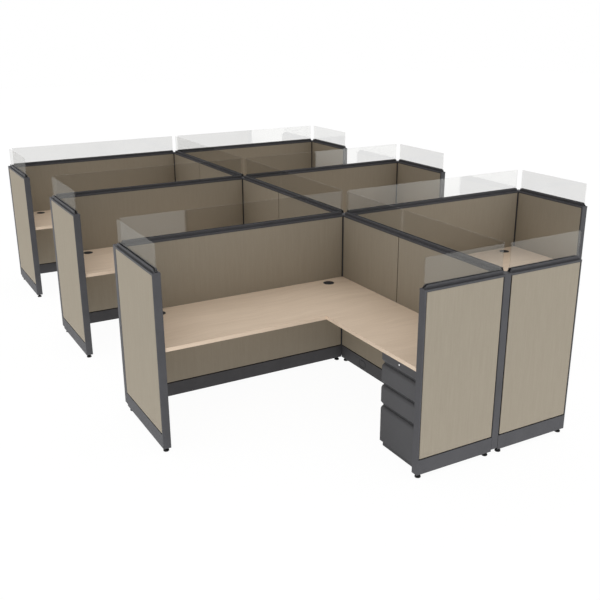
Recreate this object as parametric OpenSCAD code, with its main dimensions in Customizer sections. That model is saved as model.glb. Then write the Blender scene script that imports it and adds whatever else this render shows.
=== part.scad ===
// Six-station cubicle pod: three rows of two mirrored workstations share one spine wall.
// Each station has a back wall, a wing wall, an L-shaped worksurface and a three-drawer pedestal.
// Millimetres, +Z up. The origin is on the floor under the middle of the footprint,
// X runs along the back walls and Y runs along the spine, with the head of the pod at -Y.

/* [Wall panels] */
// Length of a back wall panel between its two posts
bay_run = 1832; // [1500:1:2400]
// Length of a wing panel, and of the spine panel beside it
wing_run = 760; // [700:1:900]
// Length of the second spine panel of each station
lead_run = 1060; // [900:1:1300]
// Length of an end panel at the head of the pod
end_run = 615; // [610:1:900]
// Thickness of a finished wall, and width of the square posts
panel_t = 56; // [50:1:76]
// Thickness of a fabric tile
tile_t = 9; // [6:0.5:12]
// Height of the fabric tiles
tile_h = 1109; // [1000:1:1500]
// Bare edge of the frame left beside a tile at a post
groove_w = 8; // [6:0.5:12]
// Bare edge of the frame left beside a tile where two panels meet in line
seam_in = 4; // [3:0.5:6]
// Distance from the floor to the underside of the walls
floor_gap = 29; // [20:1:45]
// Height of the raceway cover along the foot of a wall
base_h = 106; // [80:1:150]
// Dark line between a raceway cover and the tile above it
base_reveal = 8; // [4:0.5:14]

/* [Top cap and glass] */
// Height of the cap's lowest band, flush with the tiles
ledge_h = 14; // [8:1:25]
// Height of the recessed neck above the ledge
neck_h = 15; // [14:1:30]
// Height of the two lips that hold the glass
lip_h = 11; // [8:1:20]
// Depth of the neck behind the face of the wall
neck_in = 10; // [4:0.5:12]
// Width of each lip
lip_w = 14; // [12:0.5:18]
// Distance that a cap reaches over a post at each end
cap_over = 8; // [4:0.5:12]
// Length of the slope at a cap's free end
cap_slope = 28; // [15:1:45]
// Thickness of the glass sheets
glass_t = 10; // [6:1:12]
// Height of glass that shows above the cap
glass_show = 166; // [100:1:350]
// Gap left at a post and at a free end before the glass starts
glass_in = 4; // [2:0.5:12]
// Gap left at a free end or a seam beside the glass
glass_end_in = 10; // [6:0.5:20]

/* [End trim and posts] */
// Width of the trim that closes a free end of a wall
trim_w = 11; // [8:0.5:16]
// Dark line between an end trim and the tile beside it
trim_gap = 3.5; // [2:0.5:6]
// Wall thickness of the trim and of the posts
trim_wall = 3; // [2:0.5:4]
// Height of a post's foot above the underside of the walls
post_lift = 14; // [5:1:25]

/* [Raceway and glides] */
// Wall thickness of a raceway cover
cover_t = 2; // [1.5:0.5:3]
// Distance from a post to the middle of the outlet opening on the spine
outlet_at = 320; // [200:1:400]
// Length of the outlet opening
outlet_l = 92; // [70:1:110]
// Height of the outlet opening
outlet_h = 60; // [40:1:70]
// Corner radius of the outlet opening
outlet_r = 20; // [5:1:28]
// Lap of the blanking plate behind the edge of the opening
outlet_lap = 6; // [3:0.5:10]
// Radius of a levelling glide
glide_r = 17; // [10:0.5:18]
// Height of a levelling glide's pad
glide_h = 13; // [8:0.5:18]
// Radius of a glide's threaded stem
stem_r = 5; // [4:0.5:6]
// Distance from a panel's end to its glide
glide_in = 30; // [20:1:60]

/* [Worksurface] */
// Height of the worksurface above the floor
ws_top = 749; // [700:1:780]
// Thickness of the worksurface
ws_t = 28; // [24:1:36]
// Depth of the long run along the back wall
ws_depth = 746; // [600:1:760]
// Depth of the return along the spine
ret_depth = 604; // [560:1:610]
// Gap between the worksurface and the walls
ws_gap = 2; // [1:0.5:5]
// Thickness of the edge band on the front edges
band_t = 3; // [2:0.5:4]
// Radius of the cable holes
hole_r = 32; // [25:0.5:38]
// Radius of a grommet's flange
flange_r = 44; // [39:0.5:46]
// Height of a grommet's flange above the worksurface
flange_h = 2; // [1.5:0.5:3]
// Wall thickness of a grommet's liner
liner_t = 3; // [2:0.5:4]
// Distance from the spine to the nearer grommet
grommet_spine = 190; // [100:1:300]
// Distance from the wing to the other grommet
grommet_wing = 206; // [100:1:300]
// Distance from the back wall to the grommets
grommet_wall = 94; // [60:1:150]
// Thickness of a cantilever bracket
bracket_t = 4; // [3:0.5:5]
// Reach of the two brackets under the long run
bracket_reach = 540; // [400:1:560]
// Reach of the bracket under the return
ret_reach = 430; // [300:1:480]
// Height of a bracket at the wall
bracket_root = 150; // [100:1:200]
// Height of a bracket at its tip
bracket_tip = 30; // [20:1:50]

/* [Pedestal] */
// Width of the pedestal
ped_w = 381; // [350:1:420]
// Distance from the return's front edge back to the drawer fronts
ped_setback = 28; // [10:1:40]
// Distance from the spine to the back of the pedestal
ped_back_gap = 19; // [2:1:25]
// Distance from the end of the return's bay to the pedestal
ped_end_gap = 28; // [10:1:60]
// Thickness of the case's sheet panels
ped_wall = 3; // [2:0.5:4]
// Height of the plinth under the lowest drawer
plinth_h = 48; // [35:1:70]
// Depth of the toe recess behind the front edge of the case
plinth_in = 3.5; // [2:0.5:30]
// Height of the pedestal's glides
foot_h = 8; // [6:0.5:14]
// Height of the fixed rail that holds the lock
rail_h = 92; // [81:1:95]
// Height of each of the two box drawers, with its gap
box_pitch = 153; // [130:1:165]

/* [Drawers] */
// Thickness of a drawer front
front_t = 22; // [21:0.5:26]
// Gap above each drawer front
front_gap = 6; // [3:0.5:8]
// Height of the sloped finger pull along a front's top edge
pull_h = 20; // [20:1:40]
// Height of the slope under the rail and under the two upper fronts, above a pull
bevel_h = 25; // [10:1:27]
// Depth of the groove that a pull and the slope above it make
pull_d = 20; // [10:0.5:20]
// Skin thickness of a drawer front and of a drawer's sheet panels
skin_t = 2; // [1.5:0.5:3]
// Distance from the top of a drawer's space down to the top of its sides
side_drop = 45; // [30:1:60]
// Distance from the bottom of a front up to the drawer's floor
floor_rise = 14; // [8:1:20]
// Clearance behind a closed drawer
back_gap = 30; // [20:1:60]
// Thickness of one slide member
slide_t = 6; // [4:0.5:8]
// Height of a slide member
slide_h = 40; // [30:1:50]
// Length of a slide member
slide_len = 490; // [420:1:500]
// Running clearance between the two members of a slide
slide_play = 0.5; // [0.3:0.1:1]
// Opening travel of the box drawers
box_travel = 380; // [300:1:420]
// Opening travel of the file drawer
file_travel = 420; // [300:1:450]
// Radius of the lock plug
lock_r = 9.5; // [7:0.5:11.5]
// Length of the lock plug behind the rail's face
lock_len = 24; // [18:1:30]
// Distance that the lock plug stands proud of the rail
lock_proud = 2; // [1:0.5:3]
// Distance from the pedestal's top to the lock
lock_drop = 39; // [30:1:48]

/* [Hidden] */

$fn = 64;

// Colours as the object shows them
fabric_colour = "#a39b88";
trim_colour = "#58585c";
steel_colour = "#707276";
maple_colour = "#d9b98c";
band_colour = "#e6cfa4";
black_colour = "#1c1c1e";
glass_colour = "#dfe8e8";
silver_colour = "#c8c8cc";

// Small clearances and the overrun of every cut
over = 1;          // overrun of a cut past the face that it opens
sheet_gap = 0.2;   // weld line between two sheets of one case or drawer
seam_gap = 0.5;    // half of the joint between two panels in line, and of a mitre between caps
cover_gap = 1;     // gap between a raceway cover and a post
post_drop = 1;     // a post's lid below the lips of the caps that reach over it
fit = 0.3;         // clearance of a round piece in its hole
front_clear = 0.5; // clearance between a drawer front and the case edge behind it

// Plan of the pod
half = panel_t / 2;
rows = 3;
pitch = panel_t + wing_run + lead_run;
col_x = panel_t + bay_run;
function row_y(row) = (row - rows / 2) * pitch;
seam_v = half + wing_run;         // from a back wall's centre forward to the spine's seam
core_half = half - tile_t;        // half thickness of the frames

// Heights
z_base = floor_gap + base_h;
z_tile = z_base + base_reveal;
z_ledge = z_tile + tile_h;
z_neck = z_ledge + ledge_h;
z_lip = z_neck + neck_h;
z_cap = z_lip + lip_h;
z_glass = z_cap + glass_show;
post_top = z_lip - post_drop;

// Frame members
tube_w = 30;       // width of a frame member seen from the side
tube_wall = 2;     // its wall thickness
bottom_rail_h = 20;

// Cap details
neck_half = half - neck_in;
slot_half = half - lip_w;
channel_skin = 2;  // thickness of the cap under the glass channel
channel_floor = z_neck + channel_skin;
gasket_drop = 7;   // gasket's top edge below the lips
cap_drop = lip_h + neck_h - channel_skin;

// A panel is [x, y, direction, length, kind of start, kind of end]
POST = 0;
SEAM = 1;
FREE = 2;
RIGHT = 0;
LEFT = 180;
AHEAD = -90;
BACKS = [for (row = [1:rows], side = [-1, 1])
    [side * half, row_y(row), side > 0 ? RIGHT : LEFT, bay_run, POST, POST]];
WINGS = [for (row = [1:rows], side = [-1, 1])
    [side * col_x, row_y(row) - half, AHEAD, wing_run, POST, FREE]];
REAR_SPINES = [for (row = [1:rows]) [0, row_y(row) - half, AHEAD, wing_run, POST, SEAM]];
LEAD_SPINES = [for (row = [1:rows]) [0, row_y(row) - seam_v, AHEAD, lead_run, SEAM, POST]];
SPINES = concat(REAR_SPINES, LEAD_SPINES);
ENDS = [for (side = [-1, 1])
    [side * half, row_y(0), side > 0 ? RIGHT : LEFT, end_run, POST, FREE]];
PANELS = concat(BACKS, WINGS, SPINES, ENDS);

function run(p) = p[3];
// How far each layer stops short of a panel's end, by the kind of that end
function tile_in(kind) = [groove_w, seam_in, trim_w + trim_gap][kind];
function core_in(kind) = [0, seam_gap, trim_wall][kind];
function cover_in(kind) = [cover_gap, seam_gap, trim_w][kind];
function lip_in(kind) = [-cap_over, seam_gap, 0][kind];
function ledge_in(kind) = [seam_gap, seam_gap, 0][kind];
function glass_stop(kind) = [glass_in, glass_end_in, glass_end_in][kind];
function gasket_stop(kind) = glass_stop(kind) + [0, 0, cap_slope][kind];

// Places children on a panel: local X runs along it, local Y across it
module on_panel(p) {
    translate([p[0], p[1], 0]) rotate([0, 0, p[2]]) children();
}

// A box given by its two corners
module span(low, high) {
    translate(low) cube(high - low);
}

// A box along a panel, from end to end less an inset at each end, on one side of its centre
module strip(p, inset_a, inset_b, y0, y1, z0, z1) {
    span([inset_a, y0, z0], [run(p) - inset_b, y1, z1]);
}

// Both faces of a panel
module both_faces() {
    children();
    mirror([0, 1, 0]) children();
}

// Square posts at every junction, capped at the top
module junction_posts() {
    color(trim_colour) {
        for (row = [0:rows]) translate([0, row_y(row), 0]) post();
        for (row = [1:rows], side = [-1, 1]) translate([side * col_x, row_y(row), 0]) post();
    }
}

module post() {
    inner = half - trim_wall;
    difference() {
        span([-half, -half, floor_gap + post_lift], [half, half, post_top]);
        span([-inner, -inner, floor_gap + post_lift - over], [inner, inner, post_top - trim_wall]);
    }
}

// Welded frame of square tube inside a panel
module panel_frame(p) {
    a = core_in(p[4]);
    b = run(p) - core_in(p[5]);
    color(steel_colour) on_panel(p) difference() {
        span([a, -core_half, floor_gap], [b, core_half, z_ledge]);
        // Openings between the members, above and below the middle rail
        span([a + tube_w, -core_half - over, floor_gap + bottom_rail_h],
            [b - tube_w, core_half + over, ws_top - ws_t - tube_w]);
        span([a + tube_w, -core_half - over, ws_top - ws_t],
            [b - tube_w, core_half + over, z_ledge - tube_w]);
        // Hollows of the two stiles
        for (x = [a + tube_wall, b - tube_w + tube_wall])
            span([x, -core_half + tube_wall, floor_gap + bottom_rail_h],
                [x + tube_w - 2 * tube_wall, core_half - tube_wall, z_ledge - tube_wall]);
        // Hollows of the three rails
        for (z = [[floor_gap + tube_wall, floor_gap + bottom_rail_h - tube_wall],
                [ws_top - ws_t - tube_w + tube_wall, ws_top - ws_t - tube_wall],
                [z_ledge - tube_w + tube_wall, z_ledge - tube_wall]])
            span([a + tube_w + tube_wall, -core_half + tube_wall, z[0]],
                [b - tube_w - tube_wall, core_half - tube_wall, z[1]]);
    }
}

// Fabric-covered tiles on both faces of a panel
module tile_pair(p) {
    color(fabric_colour) on_panel(p) both_faces()
        strip(p, tile_in(p[4]), tile_in(p[5]), core_half, half, z_tile, z_ledge);
}

// Plan of the lips' outer edge at one end of a cap. Over a post both corners are mitred,
// so that the caps of two walls at right angles meet without touching.
function lip_corner(kind) = kind == POST
    ? [[seam_gap, half], [-cap_over, half - cap_over - seam_gap]]
    : [[lip_in(kind), half]];
function reversed(list) = [for (i = [len(list) - 1:-1:0]) list[i]];
function across(list) = [for (c = list) [c[0], -c[1]]];
function far_end(list, length) = [for (c = list) [length - c[0], c[1]]];
function lip_plan(p) = concat(lip_corner(p[4]), reversed(across(lip_corner(p[4]))),
    far_end(across(lip_corner(p[5])), run(p)), reversed(far_end(lip_corner(p[5]), run(p))));

// Stepped top cap: ledge, recessed neck and two lips with the glass channel between them
module top_cap(p) {
    a = lip_in(p[4]);
    b = run(p) - lip_in(p[5]);
    color(trim_colour) on_panel(p) difference() {
        union() {
            strip(p, ledge_in(p[4]), ledge_in(p[5]), -half, half, z_ledge, z_neck);
            strip(p, ledge_in(p[4]), ledge_in(p[5]), -neck_half, neck_half, z_neck, z_lip);
            translate([0, 0, z_lip]) linear_extrude(lip_h) polygon(lip_plan(p));
        }
        span([a - over, -slot_half, channel_floor], [b + over, slot_half, z_cap + over]);
        if (p[5] == FREE)
            translate([b, half + over, 0]) rotate([90, 0, 0])
                linear_extrude(panel_t + 2 * over)
                    polygon([[-cap_slope, z_cap], [-cap_slope, z_cap + over], [over, z_cap + over],
                        [over, z_cap - cap_drop], [0, z_cap - cap_drop]]);
    }
}

// Black gaskets that grip the glass in the channel
module gasket_pair(p) {
    color(black_colour) on_panel(p) both_faces()
        strip(p, gasket_stop(p[4]), gasket_stop(p[5]),
            glass_t / 2, slot_half, channel_floor, z_cap - gasket_drop);
}

module glass_sheet(p) {
    color(glass_colour) on_panel(p)
        strip(p, glass_stop(p[4]), glass_stop(p[5]), -glass_t / 2, glass_t / 2,
            channel_floor, z_glass);
}

// Channel-shaped trim that closes the free end of a panel, open at both ends
module end_trim(p) {
    inner = half - trim_wall;
    color(trim_colour) on_panel(p) difference() {
        span([run(p) - trim_w, -half, floor_gap], [run(p), half, z_ledge]);
        span([run(p) - trim_w - over, -inner, floor_gap - over],
            [run(p) - trim_wall, inner, z_ledge + over]);
    }
}

// Raceway cover: a shallow channel whose returns clip to the frame
module cover_pair(p, outlets) {
    a = cover_in(p[4]);
    b = run(p) - cover_in(p[5]);
    color(trim_colour) on_panel(p) both_faces() difference() {
        span([a, core_half, floor_gap], [b, half, z_base]);
        span([a - over, core_half - over, floor_gap + cover_t],
            [b + over, half - cover_t, z_base - cover_t]);
        if (outlets)
            outlet_blank(0, half - cover_t - over, cover_t + 2 * over);
    }
}

// The outlet opening's rounded outline grown by a margin, standing at depth y, t thick
module outlet_blank(margin, y, t) {
    w = outlet_l / 2 - outlet_r;
    h = outlet_h / 2 - outlet_r;
    r = outlet_r + margin;
    translate([outlet_at, y + t, (floor_gap + z_base) / 2]) rotate([90, 0, 0]) linear_extrude(t) {
        square([2 * w, 2 * (h + r)], center = true);
        square([2 * (w + r), 2 * h], center = true);
        for (x = [-w, w], z = [-h, h]) translate([x, z]) circle(r);
    }
}

module outlet_plates() {
    color(black_colour) for (p = REAR_SPINES) on_panel(p) both_faces()
        outlet_blank(outlet_lap, half - 2 * cover_t, cover_t);
}

module raceway_covers() {
    for (p = concat(BACKS, WINGS, LEAD_SPINES, ENDS)) cover_pair(p, false);
    for (p = REAR_SPINES) cover_pair(p, true);
}

// Glides screwed into the frames and into the pedestals
module levelling_glides() {
    color(black_colour) {
        for (p = PANELS) on_panel(p) for (x = [glide_in, run(p) - glide_in])
            translate([x, 0, 0]) glide(glide_h, floor_gap);
        for (row = [1:rows], side = [-1, 1]) in_station(row, side)
            for (u = [ped_u0 + glide_in, plinth_u - glide_in],
                    v = [ped_v0 + glide_in, ped_v1 - glide_in])
                translate([u, v, 0]) glide(foot_h, case_z);
    }
}

module glide(pad_h, top) {
    cylinder(h = pad_h, r = glide_r);
    cylinder(h = top, r = stem_r);
}

// A station's own frame: u runs from the spine outwards, v from the back wall forward
module in_station(row, side) {
    translate([0, row_y(row), 0]) {
        if (side < 0) rotate([0, 0, 180]) children();
        else mirror([0, 1, 0]) children();
    }
}

// Places inside a station
ws_u0 = half + ws_gap;
ws_u1 = col_x - half - ws_gap;
ws_v0 = half + ws_gap;
front_v = half + ws_gap + ws_depth;
ret_u = half + ws_gap + ret_depth;
ret_v = pitch - half - ws_gap;
ws_under = ws_top - ws_t;
grommets_uv = [[half + grommet_spine, half + grommet_wall],
    [col_x - half - grommet_wing, half + grommet_wall]];
ped_u1 = ret_u - ped_setback;
ped_u0 = half + ped_back_gap;
ped_v1 = pitch - half - ped_end_gap;
ped_v0 = ped_v1 - ped_w;
case_z = foot_h + plinth_h;
case_u = ped_u1 - front_t - front_clear;   // front edge of the case behind the drawer fronts
plinth_u = case_u - plinth_in;
rail_z = ws_under - rail_h;
lock_v = (ped_v0 + ped_v1) / 2;

// Lock details: the cam behind the rail and the key slot
cam_reach = 14;
cam_w = 9;
cam_t = 2;
key_h = 8;
key_w = 2;
key_depth = 2;

// Laminate top, one L-shaped board with two cable holes
module worksurface(row, side) {
    color(maple_colour) in_station(row, side) translate([0, 0, ws_under])
        linear_extrude(ws_t) difference() {
            polygon([[ws_u0, ws_v0], [ws_u1, ws_v0], [ws_u1, front_v - band_t],
                [ret_u - band_t, front_v - band_t], [ret_u - band_t, ret_v], [ws_u0, ret_v]]);
            for (g = grommets_uv) translate(g) circle(hole_r);
        }
}

// Edge bands on the two front edges of every top
module edge_bands() {
    color(band_colour) for (row = [1:rows], side = [-1, 1]) in_station(row, side) {
        span([ret_u - band_t + sheet_gap, front_v - band_t, ws_under],
            [ws_u1, front_v, ws_top]);
        span([ret_u - band_t, front_v + sheet_gap, ws_under], [ret_u, ret_v, ws_top]);
    }
}

// Closed cable grommets: a flanged liner with its cap turned shut
module grommets() {
    color(black_colour) for (row = [1:rows], side = [-1, 1]) in_station(row, side)
        for (g = grommets_uv) translate([g[0], g[1], 0]) difference() {
            union() {
                translate([0, 0, ws_top]) cylinder(h = flange_h, r = flange_r);
                translate([0, 0, ws_under]) cylinder(h = ws_t, r = hole_r - fit);
            }
            translate([0, 0, ws_under - over])
                cylinder(h = ws_t + over - liner_t, r = hole_r - fit - liner_t);
        }
}

// Cantilever brackets hooked into the bare frame edges under each top
module cantilever_brackets() {
    groove_mid = (groove_w - bracket_t) / 2;
    color(trim_colour) for (row = [1:rows], side = [-1, 1]) in_station(row, side) {
        for (u = [half + groove_mid, col_x - half - groove_mid - bracket_t])
            translate([u, core_half, ws_under]) rotate([90, 0, 90]) bracket(bracket_reach);
        translate([core_half, seam_v + bracket_t / 2, ws_under])
            rotate([90, 0, 0]) bracket(ret_reach);
    }
}

// Side view of a bracket, level along its top
module bracket(reach) {
    linear_extrude(bracket_t)
        polygon([[0, 0], [reach, 0], [reach, -bracket_tip], [0, -bracket_root]]);
}

// Pedestal case of folded sheets: sides with a toe recess, back, top, bottom, plinth and lock rail
module pedestal_case(row, side) {
    g = sheet_gap;
    w = ped_wall;
    color(trim_colour) in_station(row, side) {
        for (v = [ped_v0, ped_v1 - w]) case_side(v);
        span([ped_u0, ped_v0 + w + g, case_z], [ped_u0 + w, ped_v1 - w - g, ws_under]);
        for (z = [case_z, ws_under - w])
            span([ped_u0 + w + g, ped_v0 + w + g, z], [case_u, ped_v1 - w - g, z + w]);
        for (u = [ped_u0, plinth_u - w])
            span([u, ped_v0 + w + g, foot_h], [u + w, ped_v1 - w - g, case_z - g]);
        lock_rail(w, g);
    }
}

// Lock rail: a cover with closed ends and a sloped lower edge, open behind and above
module lock_rail(w, g) {
    difference() {
        translate([0, ped_v1, 0]) rotate([90, 0, 0]) linear_extrude(ped_w)
            polygon([[case_u + g, rail_z], [ped_u1 - pull_d, rail_z],
                [ped_u1, rail_z + bevel_h], [ped_u1, ws_under], [case_u + g, ws_under]]);
        translate([0, ped_v1 - w, 0]) rotate([90, 0, 0]) linear_extrude(ped_w - 2 * w)
            polygon([[case_u - over, rail_z + w], [ped_u1 - pull_d, rail_z + w],
                [ped_u1 - w, rail_z + bevel_h], [ped_u1 - w, ws_under + over],
                [case_u - over, ws_under + over]]);
        translate([ped_u1 - w - over, lock_v, ws_under - lock_drop]) rotate([0, 90, 0])
            cylinder(h = w + 2 * over, r = lock_r + fit);
    }
}

// One side sheet, notched for the toe recess
module case_side(v) {
    translate([0, v + ped_wall, 0]) rotate([90, 0, 0]) linear_extrude(ped_wall)
        polygon([[ped_u0, foot_h], [plinth_u, foot_h], [plinth_u, case_z],
            [case_u, case_z], [case_u, ws_under], [ped_u0, ws_under]]);
}

// Drawer n of a pedestal: 0 upper, 1 middle, 2 file
function slot_top(n) = rail_z - n * box_pitch;
function slot_low(n) = n < 2 ? slot_top(n) - box_pitch : case_z;
function side_h(n) = slot_top(n) - slot_low(n) - floor_rise - side_drop;
function slide_z(n) = slot_low(n) + floor_rise + side_h(n) / 2 - slide_h / 2;

// Fixed members of the slides on the case sides
module case_slides() {
    color(silver_colour) for (row = [1:rows], side = [-1, 1]) in_station(row, side)
        for (n = [0:2], v = [ped_v0 + ped_wall + sheet_gap,
                ped_v1 - ped_wall - sheet_gap - slide_t])
            span([case_u - slide_len, v, slide_z(n)], [case_u, v + slide_t, slide_z(n) + slide_h]);
}

// Lower edge of a front: sloped where another front follows below, square on the last one
function front_foot(n, low) = n < 2
    ? [[ped_u1 - pull_d, low], [ped_u1, low + bevel_h]] : [[ped_u1, low]];
function sill_h(n) = n < 2 ? bevel_h : skin_t;

// Drawer front with its sloped finger pull, welded box and moving slide members
module drawer(row, side, n) {
    g = sheet_gap;
    low = slot_low(n);
    high = slot_top(n) - front_gap;
    back_u = ped_u1 - front_t;
    inset = ped_wall + sheet_gap + slide_t + slide_play;
    v0 = ped_v0 + inset;
    v1 = ped_v1 - inset;
    bu0 = ped_u0 + ped_wall + back_gap;
    bu1 = back_u - g;
    z0 = low + floor_rise;
    z1 = z0 + side_h(n);
    bv0 = v0 + slide_t + g;
    bv1 = v1 - slide_t - g;
    color(trim_colour) in_station(row, side) {
        difference() {
            translate([0, ped_v1, 0]) rotate([90, 0, 0]) linear_extrude(ped_w)
                polygon(concat([[back_u, low]], front_foot(n, low),
                    [[ped_u1, high - pull_h], [ped_u1 - pull_d, high], [back_u, high]]));
            span([back_u - over, ped_v0 + skin_t, low + sill_h(n)],
                [ped_u1 - skin_t, ped_v1 - skin_t, high - pull_h]);
        }
        // Box: floor, two sides, back and inner front
        span([bu0, bv0, z0], [bu1, bv1, z0 + skin_t]);
        for (v = [bv0, bv1 - skin_t])
            span([bu0, v, z0 + skin_t + g], [bu1, v + skin_t, z1]);
        for (u = [bu0, bu1 - skin_t])
            span([u, bv0 + skin_t + g, z0 + skin_t + g], [u + skin_t, bv1 - skin_t - g, z1]);
        for (v = [v0, v1 - slide_t])
            span([case_u - slide_len, v, slide_z(n)], [case_u, v + slide_t, slide_z(n) + slide_h]);
    }
}

// Lock plug with its key slot, and the cam behind the rail
module lock_plug(row, side) {
    key_end = lock_len + lock_proud;
    color(silver_colour) in_station(row, side)
        translate([ped_u1 - lock_len, lock_v, ws_under - lock_drop]) rotate([0, 90, 0])
            difference() {
                union() {
                    cylinder(h = key_end, r = lock_r);
                    span([0, -cam_w / 2, 0], [cam_reach, cam_w / 2, cam_t]);
                }
                span([-key_h / 2, -key_w / 2, key_end - key_depth],
                    [key_h / 2, key_w / 2, key_end + over]);
            }
}

module back_wall_frames() { for (p = BACKS) panel_frame(p); }
module wing_frames() { for (p = WINGS) panel_frame(p); }
module spine_frames() { for (p = SPINES) panel_frame(p); }
module end_panel_frames() { for (p = ENDS) panel_frame(p); }
module back_wall_tiles() { for (p = BACKS) tile_pair(p); }
module wing_tiles() { for (p = WINGS) tile_pair(p); }
module spine_tiles() { for (p = SPINES) tile_pair(p); }
module end_panel_tiles() { for (p = ENDS) tile_pair(p); }
module top_caps() { for (p = PANELS) top_cap(p); }
module glass_gaskets() { for (p = PANELS) gasket_pair(p); }
module back_wall_glass() { for (p = BACKS) glass_sheet(p); }
module wing_glass() { for (p = WINGS) glass_sheet(p); }
module spine_glass() { for (p = SPINES) glass_sheet(p); }
module end_panel_glass() { for (p = ENDS) glass_sheet(p); }
module end_trims() { for (p = concat(WINGS, ENDS)) end_trim(p); }

junction_posts();
back_wall_frames();
wing_frames();
spine_frames();
end_panel_frames();
back_wall_tiles();
wing_tiles();
spine_tiles();
end_panel_tiles();
top_caps();
glass_gaskets();
back_wall_glass();
wing_glass();
spine_glass();
end_panel_glass();
end_trims();
raceway_covers();
outlet_plates();
levelling_glides();
edge_bands();
grommets();
cantilever_brackets();
case_slides();
worksurface(1, -1);  // front_left_worksurface
worksurface(1, 1);  // front_right_worksurface
worksurface(2, -1);  // middle_left_worksurface
worksurface(2, 1);  // middle_right_worksurface
worksurface(3, -1);  // rear_left_worksurface
worksurface(3, 1);  // rear_right_worksurface
pedestal_case(1, -1);  // front_left_pedestal_case
pedestal_case(1, 1);  // front_right_pedestal_case
pedestal_case(2, -1);  // middle_left_pedestal_case
pedestal_case(2, 1);  // middle_right_pedestal_case
pedestal_case(3, -1);  // rear_left_pedestal_case
pedestal_case(3, 1);  // rear_right_pedestal_case
drawer(1, -1, 0);  // front_left_upper_drawer
drawer(1, -1, 1);  // front_left_middle_drawer
drawer(1, -1, 2);  // front_left_file_drawer
drawer(1, 1, 0);  // front_right_upper_drawer
drawer(1, 1, 1);  // front_right_middle_drawer
drawer(1, 1, 2);  // front_right_file_drawer
drawer(2, -1, 0);  // middle_left_upper_drawer
drawer(2, -1, 1);  // middle_left_middle_drawer
drawer(2, -1, 2);  // middle_left_file_drawer
drawer(2, 1, 0);  // middle_right_upper_drawer
drawer(2, 1, 1);  // middle_right_middle_drawer
drawer(2, 1, 2);  // middle_right_file_drawer
drawer(3, -1, 0);  // rear_left_upper_drawer
drawer(3, -1, 1);  // rear_left_middle_drawer
drawer(3, -1, 2);  // rear_left_file_drawer
drawer(3, 1, 0);  // rear_right_upper_drawer
drawer(3, 1, 1);  // rear_right_middle_drawer
drawer(3, 1, 2);  // rear_right_file_drawer
lock_plug(1, -1);  // front_left_lock_plug
lock_plug(1, 1);  // front_right_lock_plug
lock_plug(2, -1);  // middle_left_lock_plug
lock_plug(2, 1);  // middle_right_lock_plug
lock_plug(3, -1);  // rear_left_lock_plug
lock_plug(3, 1);  // rear_right_lock_plug
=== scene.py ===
# %% [markdown]
# # A six-station cubicle pod, dressed in Blender
#
# The solids of the pod come from a CAD model. This lesson puts their looks on: woven fabric,
# charcoal paint, pale maple laminate, thin glass and small moulded pieces. We start by loading
# the CAD model as a fixed frame. Everything is in metres, with Z up and the floor at zero.

# %% Load the frame
import math
from collections import namedtuple

import bpy
import numpy as np
from mathutils import Matrix, Vector


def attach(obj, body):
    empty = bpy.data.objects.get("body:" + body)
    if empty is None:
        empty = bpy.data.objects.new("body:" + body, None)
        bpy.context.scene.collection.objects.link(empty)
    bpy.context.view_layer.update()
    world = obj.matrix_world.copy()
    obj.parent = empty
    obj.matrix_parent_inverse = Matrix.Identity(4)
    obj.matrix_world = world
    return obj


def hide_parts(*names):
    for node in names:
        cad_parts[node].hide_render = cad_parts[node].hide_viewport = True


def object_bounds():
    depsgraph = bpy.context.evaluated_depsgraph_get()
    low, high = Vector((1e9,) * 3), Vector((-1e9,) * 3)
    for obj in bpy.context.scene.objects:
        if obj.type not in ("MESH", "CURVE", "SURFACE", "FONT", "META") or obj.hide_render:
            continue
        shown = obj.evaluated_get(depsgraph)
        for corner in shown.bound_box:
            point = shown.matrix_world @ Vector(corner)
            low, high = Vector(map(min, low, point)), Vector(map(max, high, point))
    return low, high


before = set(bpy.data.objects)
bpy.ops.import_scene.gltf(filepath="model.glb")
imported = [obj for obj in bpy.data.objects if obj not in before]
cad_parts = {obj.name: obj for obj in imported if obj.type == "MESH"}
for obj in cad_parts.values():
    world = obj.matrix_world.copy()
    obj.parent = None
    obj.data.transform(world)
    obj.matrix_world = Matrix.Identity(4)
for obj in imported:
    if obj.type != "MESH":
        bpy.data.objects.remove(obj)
cad_low, cad_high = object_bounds()
print("CAD nodes:", len(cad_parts), "box:", tuple(cad_low), tuple(cad_high))

# %% [markdown]
# The camera comes first, because every later look is judged through it. The photograph was
# taken from the front left, a little above the walls. A camera can be dragged into place by eye
# or aimed by a constraint. This one has its place, turns and lens from the straight edges in the
# photograph, so that the render lies over it: yaw swings it to the right, pitch tips it down and
# roll levels it.

# %% Camera
YAW, PITCH, ROLL = math.radians(29.274), math.radians(19.034), math.radians(-0.28)
CAMERA_PLACE = Vector((-3.509, -6.4554, 2.7825))
LENS_MM = 49.286
SENSOR_MM = 36
FAR_CLIP = 100


def camera_axes(yaw, pitch, roll):
    """Right, up and backward directions of a camera that looks along +Y before it turns."""
    ahead = Vector((math.sin(yaw) * math.cos(pitch), math.cos(yaw) * math.cos(pitch),
        -math.sin(pitch)))
    right = Vector((math.cos(yaw), -math.sin(yaw), 0))
    up = right.cross(ahead)
    return (math.cos(roll) * right + math.sin(roll) * up,
        math.cos(roll) * up - math.sin(roll) * right, -ahead)


camera = bpy.data.objects.new("camera", bpy.data.cameras.new("camera"))
bpy.context.collection.objects.link(camera)
turn = Matrix(camera_axes(YAW, PITCH, ROLL)).transposed().to_4x4()
camera.matrix_world = Matrix.Translation(CAMERA_PLACE) @ turn
camera.data.lens = LENS_MM
camera.data.sensor_width = SENSOR_MM
camera.data.clip_end = FAR_CLIP
bpy.context.scene.camera = camera
bpy.context.scene.view_settings.view_transform = "Standard"
print("camera at", tuple(camera.location))

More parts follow.
